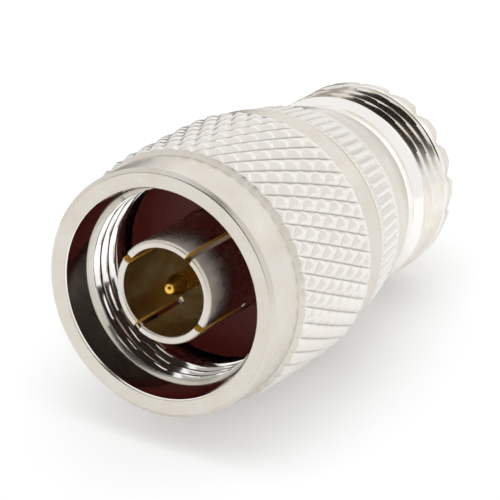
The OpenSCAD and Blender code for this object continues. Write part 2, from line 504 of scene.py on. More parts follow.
def knurl_tree() -> NodeTree:
    """Build a diamond knurl: flat pillows between grooves of both hands, one hand cut less deep. Shade is
    painted into the deeper grooves.

    Returns:
        The tree.
    """
    sizes = ("Count", "Turn", "Start", "Row", "Depth", "Blunt", "Crown", "Cross", "Seam", "Lean", "Groove Shade")
    work = SurfaceTree("Diamond knurl", Zone.KNURL, sizes)
    given = work.given
    rise = work.add(MATH, {0: work.height, 1: given["Start"]}, operation="SUBTRACT")
    rows = work.add(MATH, {0: rise, 1: given["Row"]}, operation="DIVIDE")
    along = work.add(MATH, {0: rows, 1: 0.5}, operation="MULTIPLY")
    lean = work.add(MATH, {0: rows, 1: given["Lean"], 2: given["Turn"]}, operation="MULTIPLY_ADD")
    copies = work.add(MATH, {0: work.turn, 1: given["Count"]}, operation="MULTIPLY")
    around = work.add(MATH, {0: copies, 1: lean}, operation="SUBTRACT")
    hands = [work.wave(work.add(MATH, {0: around, 1: along}, operation=way)) for way in ("ADD", "SUBTRACT")]
    flats = []
    for hand in hands:
        steep = work.add(MATH, {0: hand, 1: given["Blunt"]}, operation="DIVIDE")
        flats.append(work.add(MATH, {0: steep, 1: 1.0, 2: given["Crown"]}, operation="SMOOTH_MIN"))
    gap = work.add(MATH, {0: 1.0, 1: flats[0]}, operation="SUBTRACT")
    shallow = work.add(MATH, {0: gap, 1: given["Cross"]}, operation="MULTIPLY")
    crossed = work.add(MATH, {0: 1.0, 1: shallow}, operation="SUBTRACT")
    pillow = work.add(MATH, {0: crossed, 1: flats[1], 2: given["Seam"]}, operation="SMOOTH_MIN")
    lift = work.add(MATH, {0: pillow, 1: given["Depth"]}, operation="MULTIPLY")
    # Painted shade along the grooves of the deeper hand.
    work.shade_grooves(hands[1], given["Groove Shade"])
    return work.close(work.lifted(lift))


def thread_tree() -> NodeTree:
    """Build a right-hand screw thread with flat crests, rubbed bare, and flat roots.

    Returns:
        The tree. A negative depth cuts inwards.
    """
    work = SurfaceTree("Screw thread", Zone.THREAD, ("Pitch", "Start", "Depth", "Crest", "Root", "Rub"))
    given = work.given
    rise = work.add(MATH, {0: work.height, 1: given["Start"]}, operation="SUBTRACT")
    pitches = work.add(MATH, {0: rise, 1: given["Pitch"]}, operation="DIVIDE")
    wave = work.wave(work.add(MATH, {0: pitches, 1: work.turn}, operation="SUBTRACT"))
    deepest = work.add(MATH, {0: 1.0, 1: given["Root"]}, operation="SUBTRACT")
    cut = work.add(RANGE, {"Value": wave, "From Min": given["Crest"], "From Max": deepest})
    lift = work.add(MATH, {0: cut, 1: given["Depth"]}, operation="MULTIPLY")
    work.rub(cut, given["Rub"])
    return work.close(work.lifted(lift))


def bar_tree() -> NodeTree:
    """Build straight raised bars with soft flanks and painted shade in the gaps between them.

    Returns:
        The tree.
    """
    work = SurfaceTree("Collar bars", Zone.BARS, ("Count", "Turn", "Height", "Foot", "Top", "Groove Shade"))
    given = work.given
    copies = work.add(MATH, {0: work.turn, 1: given["Count"]}, operation="MULTIPLY")
    phase = work.add(MATH, {0: copies, 1: given["Turn"]}, operation="SUBTRACT")
    crest = work.add(MATH, {0: 1.0, 1: work.wave(phase)}, operation="SUBTRACT")
    flank = {"Value": crest, "From Min": given["Foot"], "From Max": given["Top"]}
    shape = work.add(RANGE, flank, interpolation_type="SMOOTHSTEP")
    lift = work.add(MATH, {0: shape, 1: given["Height"]}, operation="MULTIPLY")
    # Painted shade in the gaps between the bars.
    work.shade_grooves(crest, given["Top"], given["Groove Shade"])
    return work.close(work.lifted(lift))


def teeth_tree() -> NodeTree:
    """Build notches across a rim: points above the base sink, and keep to the rim's outer bevel.

    Returns:
        The tree.
    """
    notch_sizes = ("Count", "Turn", "Depth", "Floor", "Mouth", "Soft")
    rim_sizes = ("Base", "Rim", "Bevel Start", "Bevel", "Inside", "Outside")
    work = SurfaceTree("Rim teeth", Zone.PLAIN, notch_sizes + rim_sizes)
    given = work.given
    half = work.add(MATH, {0: math.pi, 1: given["Count"]}, operation="DIVIDE")
    low = work.add(MATH, {0: half, 1: -1.0}, operation="MULTIPLY")
    turned = work.add(MATH, {0: work.angle, 1: given["Turn"]}, operation="SUBTRACT")
    folded = work.add(MATH, {0: turned, 1: half, 2: low}, operation="WRAP")
    sine = work.add(MATH, {0: folded}, operation="SINE")
    side = work.add(MATH, {0: sine, 1: work.radius}, operation="MULTIPLY")
    aside = work.add(MATH, {0: side}, operation="ABSOLUTE")
    flank = {"From Min": given["Floor"], "From Max": given["Mouth"], "To Min": 1.0, "To Max": 0.0}
    slope = work.add(RANGE, {"Value": aside, **flank}, clamp=False)
    foot = work.add(MATH, {0: slope, 1: 1.0, 2: given["Soft"]}, operation="SMOOTH_MIN")
    cut = work.add(MATH, {0: foot, 1: 0.0, 2: given["Soft"]}, operation="SMOOTH_MAX")
    share = work.add(RANGE, {"Value": work.height, "From Min": given["Base"], "From Max": given["Rim"]})
    sink = work.add(MATH, {0: cut, 1: share}, operation="MULTIPLY")
    drop = work.add(MATH, {0: sink, 1: given["Depth"]}, operation="MULTIPLY")
    height = work.add(MATH, {0: work.height, 1: drop}, operation="SUBTRACT")
    bevel = {"From Min": given["Bevel Start"], "From Max": given["Rim"], "To Max": given["Bevel"]}
    old, new = (work.add(RANGE, {"Value": at, **bevel}) for at in (work.height, height))
    outer = work.add(
        RANGE, {"Value": work.radius, "From Min": given["Inside"], "From Max": given["Outside"]}
    )
    regain = work.add(MATH, {0: old, 1: new}, operation="SUBTRACT")
    spread = work.add(MATH, {0: regain, 1: outer}, operation="MULTIPLY")
    sideways = work.add(VECTOR, {0: work.outward, "Scale": spread}, operation="SCALE")
    fall = work.add(MATH, {0: drop, 1: -1.0}, operation="MULTIPLY")
    down = work.add("ShaderNodeCombineXYZ", {"Z": fall})
    return work.close(work.add(VECTOR, {0: sideways, 1: down}, operation="ADD"))


def shape_by(piece: Object, tree: NodeTree, sizes: dict[str, float], finish: Material) -> None:
    """Shape a piece by a node tree and keep the plain mesh.

    Args:
        piece: Turned piece.
        tree: Tree from one of the functions above.
        sizes: Input names to values, in metres and radians.
        finish: Material of the piece.
    """
    modifier = piece.modifiers.new(tree.name, "NODES")
    modifier.node_group = tree
    for item in tree.interface.items_tree:
        if item.in_out == "INPUT" and item.name in sizes:
            modifier[item.identifier] = float(sizes[item.name])
        elif item.in_out == "INPUT" and item.name == "Finish":
            modifier[item.identifier] = finish
    settle(piece)


# Finishes


@dataclass(frozen=True)
class NickelPlate:
    """Nickel-plated turned brass.

    Nickel is a warm grey mirror: it shows the light round it with a cream cast. Turning leaves fine rings,
    the satin bands spread reflections a little, plated and polished faces do not, and edges wear to a
    slightly brassy line. Shade is painted into the bottom of grooves.
    """

    name: str = "nickel_plated_brass"
    colour: str = "#d3cfc7"
    warm: str = "#d1c8bb"
    bright: str = "#f7f5f2"
    worn: str = "#cdb895"
    worn_share: float = 0.7
    # Painted shade at the bottom of grooves, and how much of it the deepest point takes.
    groove_shade_tone: str = "#5f5a53"
    groove_shade_share: float = 0.6
    # Flecks sit in the few cells of a pattern that pass the first value, and fill the second as a share of
    # a cell.
    fleck: str = "#6d6459"
    fleck_above: float = 0.94
    fleck_share: float = 0.05
    fleck_mm: float = 1.7
    satin: float = 0.27
    polished: float = 0.09
    uneven: tuple[float, float] = (0.82, 1.2)
    mottle_mm: float = 2.4
    mottle_detail: float = 5.0
    mottle_rough: float = 0.62
    # Turning rings are about 0.05 mm apart, which is under a pixel, so they are drawn at 0.16 mm.
    ring_mm: float = 0.16
    ring_detail: float = 2.0
    ring_rough: float = 0.6
    ring_strength: float = 0.06
    ring_depth_mm: float = 0.02

    def material(self) -> Material:
        """Build the node material.

        Returns:
            The material.
        """
        material, tree = blank_material(self.name)
        place = add_node(tree, "ShaderNodeTexCoord").outputs["Object"]
        xyz = add_node(tree, "ShaderNodeSeparateXYZ", {0: place}).outputs
        flat = add_node(tree, "ShaderNodeCombineXYZ", {"X": xyz["X"], "Y": xyz["Y"]})
        radius = add_node(tree, VECTOR, {0: flat}, operation="LENGTH")
        turned = add_node(tree, "ShaderNodeCombineXYZ", {"X": radius, "Y": xyz["Z"]})
        fine = {"Scale": cells(self.ring_mm), "Detail": self.ring_detail, "Roughness": self.ring_rough}
        rings = add_node(tree, NOISE, {"Vector": turned, **fine})
        broad = {"Scale": cells(self.mottle_mm), "Detail": self.mottle_detail, "Roughness": self.mottle_rough}
        mottle = add_node(tree, NOISE, {"Vector": place, **broad})
        tint = add_node(tree, RANGE, {"Value": mottle, **TINT_SPAN})
        edge, polish, groove = (
            add_node(tree, "ShaderNodeAttribute", attribute_name=wear.value).outputs["Fac"] for wear in Wear
        )
        rub = add_node(tree, MATH, {0: edge, 1: tint}, operation="MULTIPLY")
        rubbed = add_node(tree, MATH, {0: rub, 1: self.worn_share}, operation="MULTIPLY")
        # Painted shade: the groove mark darkens the colour.
        groove_shaded = add_node(tree, MATH, {0: groove, 1: self.groove_shade_share}, operation="MULTIPLY")
        pattern = {"Vector": place, "Scale": cells(self.fleck_mm)}
        specks = add_node(tree, "ShaderNodeTexVoronoi", pattern, feature="F1").outputs
        chance = add_node(tree, "ShaderNodeSeparateColor", {0: specks["Color"]})
        rare = add_node(tree, MATH, {0: chance, 1: self.fleck_above}, operation="GREATER_THAN")
        close = add_node(tree, MATH, {0: specks["Distance"], 1: self.fleck_share}, operation="LESS_THAN")
        dot = add_node(tree, MATH, {0: rare, 1: close}, operation="MULTIPLY")
        shares = (tint, polish, rubbed, groove_shaded, dot)
        tones = (self.warm, self.bright, self.worn, self.groove_shade_tone, self.fleck)
        colour: Any = linear(self.colour)
        for share, tone in zip(shares, tones):
            layer = {SHARE: share, FIRST: colour, SECOND: linear(tone)}
            colour = add_node(tree, MIX, layer, data_type="RGBA")
        base = add_node(tree, RANGE, {"Value": polish, "To Min": self.satin, "To Max": self.polished})
        spread = {"To Min": self.uneven[0], "To Max": self.uneven[1]}
        uneven = add_node(tree, RANGE, {"Value": mottle, **FULL_SPAN, **spread})
        rough = add_node(tree, MATH, {0: base, 1: uneven}, operation="MULTIPLY")
        depth = {"Strength": self.ring_strength, "Distance": self.ring_depth_mm * MM}
        bump = add_node(tree, "ShaderNodeBump", {"Height": rings, **depth})
        look = {"Base Color": colour, "Metallic": 1.0, "Roughness": rough, "Normal": bump}
        shader = add_node(tree, "ShaderNodeBsdfPrincipled", look)
        add_node(tree, "ShaderNodeOutputMaterial", {"Surface": shader})
        return material


@dataclass(frozen=True)
class GoldPlate:
    """Gold-plated contact metal: a soft yellow mirror, a little uneven where the bath left it duller."""

    name: str = "gold_plated_contact"
    colour: str = "#f2c85c"
    deep: str = "#dba53a"
    rough: float = 0.26
    cloud_mm: float = 0.9
    cloud_detail: float = 4.0
    uneven: tuple[float, float] = (0.7, 1.4)

    def material(self) -> Material:
        """Build the node material.

        Returns:
            The material.
        """
        material, tree = blank_material(self.name)
        place = add_node(tree, "ShaderNodeTexCoord").outputs["Object"]
        broad = {"Scale": cells(self.cloud_mm), "Detail": self.cloud_detail}
        cloud = add_node(tree, NOISE, {"Vector": place, **broad})
        tint = add_node(tree, RANGE, {"Value": cloud, **TINT_SPAN})
        tones = {FIRST: linear(self.colour), SECOND: linear(self.deep)}
        colour = add_node(tree, MIX, {SHARE: tint, **tones}, data_type="RGBA")
        spread = {"To Min": self.rough * self.uneven[0], "To Max": self.rough * self.uneven[1]}
        rough = add_node(tree, RANGE, {"Value": cloud, **spread})
        look = {"Base Color": colour, "Metallic": 1.0, "Roughness": rough}
        shader = add_node(tree, "ShaderNodeBsdfPrincipled", look)
        add_node(tree, "ShaderNodeOutputMaterial", {"Surface": shader})
        return material


@dataclass(frozen=True)
class SoftSkin:
    """Moulded or turned soft stuff, with a colour that clouds a little and a fine uneven skin."""

    name: str
    colour: str
    shade: str
    rough: float
    ior: float
    cloud_mm: float
    cloud_detail: float
    skin_strength: float
    skin_depth_mm: float = 0.05
    glow: float = 0.0
    glow_mm: float = 0.6

    def material(self) -> Material:
        """Build the node material.

        Returns:
            The material.
        """
        material, tree = blank_material(self.name)
        place = add_node(tree, "ShaderNodeTexCoord").outputs["Object"]
        broad = {"Scale": cells(self.cloud_mm), "Detail": self.cloud_detail}
        cloud = add_node(tree, NOISE, {"Vector": place, **broad})
        tones = {FIRST: linear(self.colour), SECOND: linear(self.shade)}
        colour = add_node(tree, MIX, {SHARE: cloud, **tones}, data_type="RGBA")
        depth = {"Strength": self.skin_strength, "Distance": self.skin_depth_mm * MM}
        bump = add_node(tree, "ShaderNodeBump", {"Height": cloud, **depth})
        look = {"Base Color": colour, "Roughness": self.rough, "IOR": self.ior, "Normal": bump}
        inner = {"Subsurface Weight": self.glow, "Subsurface Scale": self.glow_mm * MM}
        shader = add_node(tree, "ShaderNodeBsdfPrincipled", {**look, **inner})
        add_node(tree, "ShaderNodeOutputMaterial", {"Surface": shader})
        return material


@dataclass(frozen=True)
class WaxyPlastic(SoftSkin):
    """Turned PTFE: white, waxy and slightly see-through, so its edges glow softly, without a hard gloss."""

    name: str = "turned_ptfe"
    colour: str = "#e8e4da"
    shade: str = "#d9d2c4"
    rough: float = 0.46
    ior: float = 1.38
    cloud_mm: float = 1.2
    cloud_detail: float = 3.0
    skin_strength: float = 0.1
    glow: float = 0.25


@dataclass(frozen=True)
class SiliconeRubber(SoftSkin):
    """Moulded dark red silicone: deep, even colour with a dull skin that only brightens at a flat angle."""

    name: str = "moulded_silicone"
    colour: str = "#7d251c"
    shade: str = "#601b15"
    rough: float = 0.42
    ior: float = 1.41
    cloud_mm: float = 0.5
    cloud_detail: float = 4.0
    skin_strength: float = 0.15


# Thin gold in the sleeve's bore shows the nickel through it in broad clouds.
GOLD_FLASH = GoldPlate("thin_gold_flash", "#d9cba8", "#c09d58", rough=0.24, cloud_mm=2.2)
# Bare brass where a saw cut the sleeve's slots is light yellow and dull.
SAWN_BRASS = GoldPlate("sawn_brass", "#f0d06a", "#dcb348", rough=0.7, cloud_mm=0.4)


@dataclass
class Finishes:
    """All finishes of the adapter, made once."""

    nickel: Material = field(default_factory=NickelPlate().material)
    gold: Material = field(default_factory=GoldPlate().material)
    flash: Material = field(default_factory=GOLD_FLASH.material)
    brass: Material = field(default_factory=SAWN_BRASS.material)
    plastic: Material = field(default_factory=WaxyPlastic().material)
    rubber: Material = field(default_factory=SiliconeRubber().material)


# Pieces


def new_piece(mesh: Mesh, *finishes: Material) -> Object:
    """Make an object of a mesh and link it.

    Args:
        mesh: Mesh in place.
        finishes: Materials in order of their numbers on the faces.

    Returns:
        The object, at the origin.
    """
    piece = bpy.data.objects.new(mesh.name, mesh)
    bpy.context.scene.collection.objects.link(piece)
    for finish in finishes:
        mesh.materials.append(finish)
    return piece


def turned_piece(name: str, profile: Profile, columns: int, finish: Material) -> Object:
    """Turn a profile round the axis and make it an object."""
    return new_piece(turn_mesh(name, profile_rows(profile), columns), finish)


def hand_over(piece: Object, body: Body, node: str) -> None:
    """Let a finished piece ride on its body and stand for its solid.

    Args:
        piece: Finished piece.
        body: Body that carries it.
        node: Solid that it stands for.
    """
    for zone in Zone:
        if zone.value in piece.data.attributes:
            piece.data.attributes.remove(piece.data.attributes[zone.value])
    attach(piece, body.value)
    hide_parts(node)
    triangles = sum(len(p.vertices) - 2 for p in piece.data.polygons)
    LOG.info("%s: %d triangles on %s", piece.name, triangles, body.value)


@dataclass(frozen=True)
class Seats:
    """Sizes in millimetres that several pieces share. Heights are from the nut's front rim."""

    # Both screw threads have 24 turns an inch.
    pitch: float = 25.4 / 24
    # Front face of the body, on which the gasket sits, and its bore, which holds the sleeve's flange.
    seat: float = 10.1
    bore_r: float = 5.0
    # Groove of the retaining ring, where it ends in nut and body.
    ring_to: float = 14.14
    # Sleeve of the plug with the end of its flange.
    sleeve_in: float = 3.41
    sleeve_out: float = 4.06
    plug_end: float = 14.0
    # Pin of the plug, and the step behind it that carries the socket of the jack.
    pin_r: float = 0.825
    step_r: float = 1.5
    step_z: float = 13.0
    socket_r: float = 2.9
    socket_z: float = 16.0
    # Bore of the jack and the ledge at its bottom.
    jack_bore_r: float = 6.4
    ledge: float = 28.1


@dataclass
class CouplingNut:
    """Knurled nut of the plug end, with its inner thread."""

    seats: Seats = Seats()
    band_r: float = 9.65
    length: float = 17.0
    front_band: float = 4.15
    rear_band: float = 2.7
    bevel: float = 0.3
    bevel_round: float = 0.12
    fine_round: float = 0.06
    # Smooth mouth, slightly conical, with a narrow ring where it meets the thread's lead-in.
    mouth_r: float = 8.15
    mouth_edge: float = 0.12
    mouth_depth: float = 2.4
    mouth_end_r: float = 7.84
    mouth_ring: float = 0.04
    lead_in: float = 0.3
    crest_r: float = 7.4
    crest_round: float = 0.05
    thread_end: float = 6.4
    thread_gap: float = 0.1
    thread_rows: int = 54
    thread_depth: float = 0.56
    thread_crest: float = 0.22
    thread_root: float = 0.12
    relief_r: float = 8.05
    relief_end: float = 10.4
    relief_round: float = 0.15
    bore_r: float = 7.28
    bore_round: float = 0.1
    groove_r: float = 8.02
    groove_from: float = 12.96
    # Knurl: its pattern starts at an angle and leans, in degrees, and sinks towards the lip at each end.
    knurl_count: int = 48
    knurl_rows: int = 7
    knurl_root: float = 9.92
    knurl_depth: float = 0.28
    knurl_blunt: float = 0.72
    knurl_crown: float = 0.35
    knurl_cross: float = 0.8
    knurl_seam: float = 0.12
    knurl_lip: float = 0.4
    knurl_edge: float = 0.45
    knurl_ends: float = 0.4
    knurl_polish: float = 0.42
    knurl_turn: float = 4.9
    knurl_lean: float = -2.6
    cell: int = 6

    def knurl_span(self) -> tuple[float, float]:
        """Heights of the knurl's two ends."""
        return self.front_band, self.length - self.rear_band

    def knurl_twist(self, height: float) -> float:
        """Angle of the knurl's pattern at a height.

        Args:
            height: Height in millimetres.

        Returns:
            The angle in radians.
        """
        start, end = self.knurl_span()
        share = min(1.0, max(0.0, (height - start) / (end - start)))
        return math.radians(self.knurl_turn + self.knurl_lean * share)

    def knurl_run(self, r: float, first: float, last: float, rows: int = 0, polish: float = 0.0) -> Run:
        """Stretch of the knurl between two heights."""
        return Run(r, first, r, last, rows, Zone.KNURL, self.knurl_edge, polish, self.knurl_ends)

    def profile(self) -> Profile:
        """Draw the nut's profile.

        Returns:
            Corners and stretches from the mouth's edge round the outside and back through the bore.
        """
        start, end = self.knurl_span()
        ahead, behind = start - HOLD_MM, end + HOLD_MM
        hold = self.knurl_root - HOLD_MM
        ring, mouth, thread = self.mouth_ring, self.mouth_depth, self.mouth_depth + self.lead_in
        groove_to = self.seats.ring_to
        return [
            Corner(self.mouth_r + self.mouth_edge, 0, self.fine_round),
            Corner(self.band_r - self.bevel, 0, self.bevel_round),
            Corner(self.band_r, self.bevel, self.bevel_round),
            Corner(self.band_r, start - self.knurl_lip, self.fine_round),
            self.knurl_run(hold, ahead, ahead),
            self.knurl_run(self.knurl_root, start, end, self.knurl_rows * self.cell, self.knurl_polish),
            self.knurl_run(hold, behind, behind),
            Corner(self.band_r, end + self.knurl_lip, self.fine_round),
            Corner(self.band_r, self.length - self.bevel, self.bevel_round),
            Corner(self.band_r - self.bevel, self.length, self.bevel_round),
            Corner(self.bore_r, self.length, self.bore_round, steps=HIDDEN_STEPS),
            Corner(self.bore_r, groove_to),
            Corner(self.groove_r, groove_to),
            Corner(self.groove_r, self.groove_from),
            Corner(self.bore_r, self.groove_from),
            Corner(self.bore_r, self.relief_end),
            Corner(self.relief_r, self.relief_end, self.relief_round, steps=HIDDEN_STEPS),
            Corner(self.relief_r, self.thread_end, self.bore_round, steps=HIDDEN_STEPS),
            Corner(self.crest_r, self.thread_end, self.crest_round, polish=1.0),
            Run(
                self.crest_r,
                self.thread_end - self.thread_gap,
                self.crest_r,
                thread,
                self.thread_rows,
                Zone.THREAD,
                polish=1.0,
            ),
            Corner(self.crest_r + ring, thread - ring),
            Corner(self.mouth_end_r - ring, mouth + ring),
            Corner(self.mouth_end_r, mouth - ring, polish=1.0),
            Corner(self.mouth_r, self.mouth_edge, self.fine_round, polish=1.0),
        ]

    def build(self, finishes: Finishes) -> None:
        """Make the nut, shape its knurl and thread, and hand it over.

        Args:
            finishes: All finishes.
        """
        columns = 2 * self.knurl_count * self.cell
        rows = profile_rows(self.profile())
        mesh = turn_mesh("knurled_nut", rows, columns, self.cell, self.knurl_twist)
        piece = new_piece(mesh, finishes.nickel)
        start, end = self.knurl_span()
        knurl = {
            "Count": self.knurl_count,
            "Turn": self.knurl_turn / 360 * self.knurl_count,
            "Start": start * MM,
            "Row": (end - start) / self.knurl_rows * MM,
            "Depth": self.knurl_depth * MM,
            "Blunt": self.knurl_blunt,
            "Crown": self.knurl_crown,
            "Cross": self.knurl_cross,
            "Seam": self.knurl_seam,
            "Lean": self.knurl_lean / 360 * self.knurl_count / self.knurl_rows,
            # Painted shade along the deeper grooves reaches this share of their wave.
            "Groove Shade": 1 / self.cell,
        }
        shape_by(piece, knurl_tree(), knurl, finishes.nickel)
        thread = {
            "Pitch": self.seats.pitch * MM,
            "Depth": self.thread_depth * MM,
            "Crest": self.thread_crest,
            "Root": self.thread_root,
        }
        shape_by(piece, thread_tree(), thread, finishes.nickel)
        piece.data.set_sharp_from_angle(angle=CRISP)
        hand_over(piece, Body.NUT, "coupling_nut")


@dataclass
class AdapterBody:
    """Turned body: shank in the nut, barred and rounded collar, neck, threaded barrel and toothed rim."""

    seats: Seats = Seats()
    shank_r: float = 7.2
    shank_chamfer: float = 0.3
    shank_round: float = 0.05
    ring_r: float = 6.5
    ring_from: float = 13.08
    collar_z: float = 17.3
    collar_r: float = 9.275
    collar_length: float = 8.4
    collar_edge: float = 0.2
    collar_round: float = 0.08
    edge_round: float = 0.04
    taper: float = math.radians(10.4)
    taper_length: float = 4.704
    dome_drop: float = 0.45
    dome_rows: int = 16
    # Bars, as copies round the axis. Foot and top are shares of the way from one groove to the bar's crest.
    bar_count: int = 66
    bar_turn: float = 0.5
    bar_columns: int = 12
    bar_rows: int = 40
    bar_height: float = 0.2
    bar_foot: float = 0.24
    bar_top: float = 0.78
    # Strength of the painted shade in the gaps between the bars.
    bar_gap_shade: float = 0.4
    bar_fade: float = 0.5
    bar_polish: float = 0.4
    bar_from: float = 0.3
    bar_length: float = 3.85
    # The barrel's mesh reaches into the collar by the overlap.
    overlap: float = 0.1
    neck_r: float = 7.25
    neck_length: float = 1.05
    neck_round: float = 0.5
    neck_polish: float = 0.85
    shoulder_slope: float = 0.34
    shoulder_round: float = 0.3
    barrel_r: float = 7.85
    barrel_length: float = 7.1
    thread_from: float = 27.2
    thread_to: float = 30.85
    thread_phase: float = 27.41
    thread_fade: float = 0.15
    thread_rows: int = 58
    thread_depth: float = 0.6
    thread_crest: float = 0.1
    thread_root: float = 0.24
    thread_rub: float = 0.8
    thread_polish: float = 0.65
    tooth_count: int = 18
    tooth_columns: int = 40
    tooth_rows: int = 6
    tooth_depth: float = 1.4
    tooth_base: float = 30.9
    tooth_soft: float = 0.15
    tooth_round: float = 0.06
    notch_turn: float = math.radians(-1)
    notch_mouth: float = 0.75
    notch_floor: float = 0.12
    tooth_bevel: float = 0.35
    tooth_bevel_length: float = 1.2
    bevel_margin: float = 0.1
    rim_chamfer: float = 0.25
    rim_round: float = 0.05
    rim_gap: float = 0.15

    @property
    def collar_end(self) -> float:
        """Height of the collar's rear end."""
        return self.collar_z + self.collar_length

    @property
    def rim(self) -> float:
        """Height of the toothed rim."""
        return self.collar_end + self.barrel_length

    def collar_at(self, distance: float) -> float:
        """Radius of the collar at a distance behind its front."""
        past = max(0.0, distance - self.taper_length) / (self.collar_length - self.taper_length)
        return self.collar_r - distance * math.tan(self.taper) - self.dome_drop * past * past

    def collar_profile(self) -> Profile:
        """Draw the profile of shank and collar.

        Returns:
            Corners and stretches from the body's front face round the collar.
        """
        seat, bore_r, ring_to = self.seats.seat, self.seats.bore_r, self.seats.ring_to
        first, last = self.bar_from, self.bar_from + self.bar_length
        spread = self.collar_length - self.taper_length
        dome = [self.taper_length + i * spread / self.dome_rows for i in range(self.dome_rows)]
        return [
            Corner(bore_r, seat),
            Corner(self.shank_r - self.shank_chamfer, seat, self.shank_round),
            Corner(self.shank_r, seat + self.shank_chamfer, self.shank_round),
            Corner(self.shank_r, self.ring_from),
            Corner(self.ring_r, self.ring_from),
            Corner(self.ring_r, ring_to),
            Corner(self.shank_r, ring_to),
            Corner(self.shank_r, self.collar_z),
            Corner(self.collar_r - self.collar_edge, self.collar_z, self.collar_round),
            Corner(self.collar_at(self.collar_edge), self.collar_z + self.collar_edge, self.edge_round),
            Run(
                self.collar_at(first),
                self.collar_z + first,
                self.collar_at(last),
                self.collar_z + last,
                self.bar_rows,
                Zone.BARS,
                self.bar_fade,
                self.bar_polish,
            ),
            *[Corner(self.collar_at(d), self.collar_z + d) for d in dome],
            Corner(self.collar_at(self.collar_length), self.collar_end, self.collar_round),
            Corner(bore_r, self.collar_end),
        ]

    def barrel_profile(self) -> Profile:
        """Draw the profile of neck, barrel and rim.

        Returns:
            Corners and stretches from the collar's end round the rim and down the jack's bore.
        """
        seats, rim, barrel = self.seats, self.rim, self.barrel_r
        jack_r = seats.jack_bore_r
        start = self.collar_end - self.overlap
        shoulder = self.collar_end + self.neck_length
        bevel_z = rim - self.tooth_bevel_length
        inset, margin = self.tooth_bevel * self.bevel_margin, self.tooth_bevel_length * self.bevel_margin
        chamfer_z = rim - self.rim_chamfer
        return [
            Corner(seats.bore_r, start),
            Corner(self.neck_r, start, polish=self.neck_polish),
            Corner(self.neck_r, shoulder - self.shoulder_slope, self.neck_round, self.neck_polish),
            Corner(barrel, shoulder + self.shoulder_slope, self.shoulder_round, self.neck_polish),
            Run(
                barrel,
                self.thread_from,
                barrel,
                self.thread_to,
                self.thread_rows,
                Zone.THREAD,
                self.thread_fade,
                self.thread_polish,
            ),
            Corner(barrel, bevel_z, self.tooth_round),
            Run(
                barrel - inset,
                bevel_z + margin,
                barrel - self.tooth_bevel + inset,
                rim - margin,
                self.tooth_rows,
            ),
            Corner(barrel - self.tooth_bevel, rim, self.collar_round),
            Corner(jack_r + self.rim_chamfer, rim, self.tooth_round),
            Corner(jack_r, chamfer_z, self.rim_round),
            Run(jack_r, chamfer_z - self.rim_gap, jack_r, self.tooth_base, self.tooth_rows),
            Corner(jack_r, seats.ledge),
            Corner(seats.bore_r, seats.ledge),
        ]

    def build_collar(self, nickel: Material) -> None:
        """Make the collar with its bars and hand it over.

        Args:
            nickel: Finish of the body.
        """
        columns = self.bar_count * self.bar_columns
        collar = turned_piece("barred_collar", self.collar_profile(), columns, nickel)
        bars = {
            "Count": self.bar_count,
            "Turn": self.bar_turn,
            "Height": self.bar_height * MM,
            "Foot": self.bar_foot,
            "Top": self.bar_top,
            "Groove Shade": self.bar_gap_shade,
        }
        shape_by(collar, bar_tree(), bars, nickel)
        hand_over(collar, Body.ADAPTER, "adapter_body")

    def build_barrel(self, nickel: Material) -> None:
        """Make the barrel with its thread and teeth and hand it over.

        Args:
            nickel: Finish of the body.
        """
        columns = self.tooth_count * self.tooth_columns
        barrel = turned_piece("threaded_barrel", self.barrel_profile(), columns, nickel)
        thread = {
            "Pitch": self.seats.pitch * MM,
            "Start": self.thread_phase * MM,
            "Depth": -self.thread_depth * MM,
            "Crest": self.thread_crest,
            "Root": self.thread_root,
            "Rub": self.thread_rub,
        }
        shape_by(barrel, thread_tree(), thread, nickel)
        barrel.data.set_sharp_from_angle(angle=CRISP)
        teeth = {
            "Count": self.tooth_count,
            "Turn": self.notch_turn,
            "Depth": self.tooth_depth * MM,
            "Floor": self.notch_floor * MM,
            "Mouth": self.notch_mouth * MM,
            "Soft": self.tooth_soft,
            "Base": self.tooth_base * MM,
            "Rim": self.rim * MM,
            "Bevel Start": (self.rim - self.tooth_bevel_length) * MM,
            "Bevel": self.tooth_bevel * MM,
            "Inside": (self.seats.jack_bore_r + self.rim_chamfer) * MM,
            "Outside": (self.barrel_r - self.tooth_bevel) * MM,
        }
        shape_by(barrel, teeth_tree(), teeth, nickel)
        hand_over(barrel, Body.ADAPTER, "adapter_body")

    def build(self, finishes: Finishes) -> None:
        """Make collar and barrel."""
        self.build_collar(finishes.nickel)
        self.build_barrel(finishes.nickel)


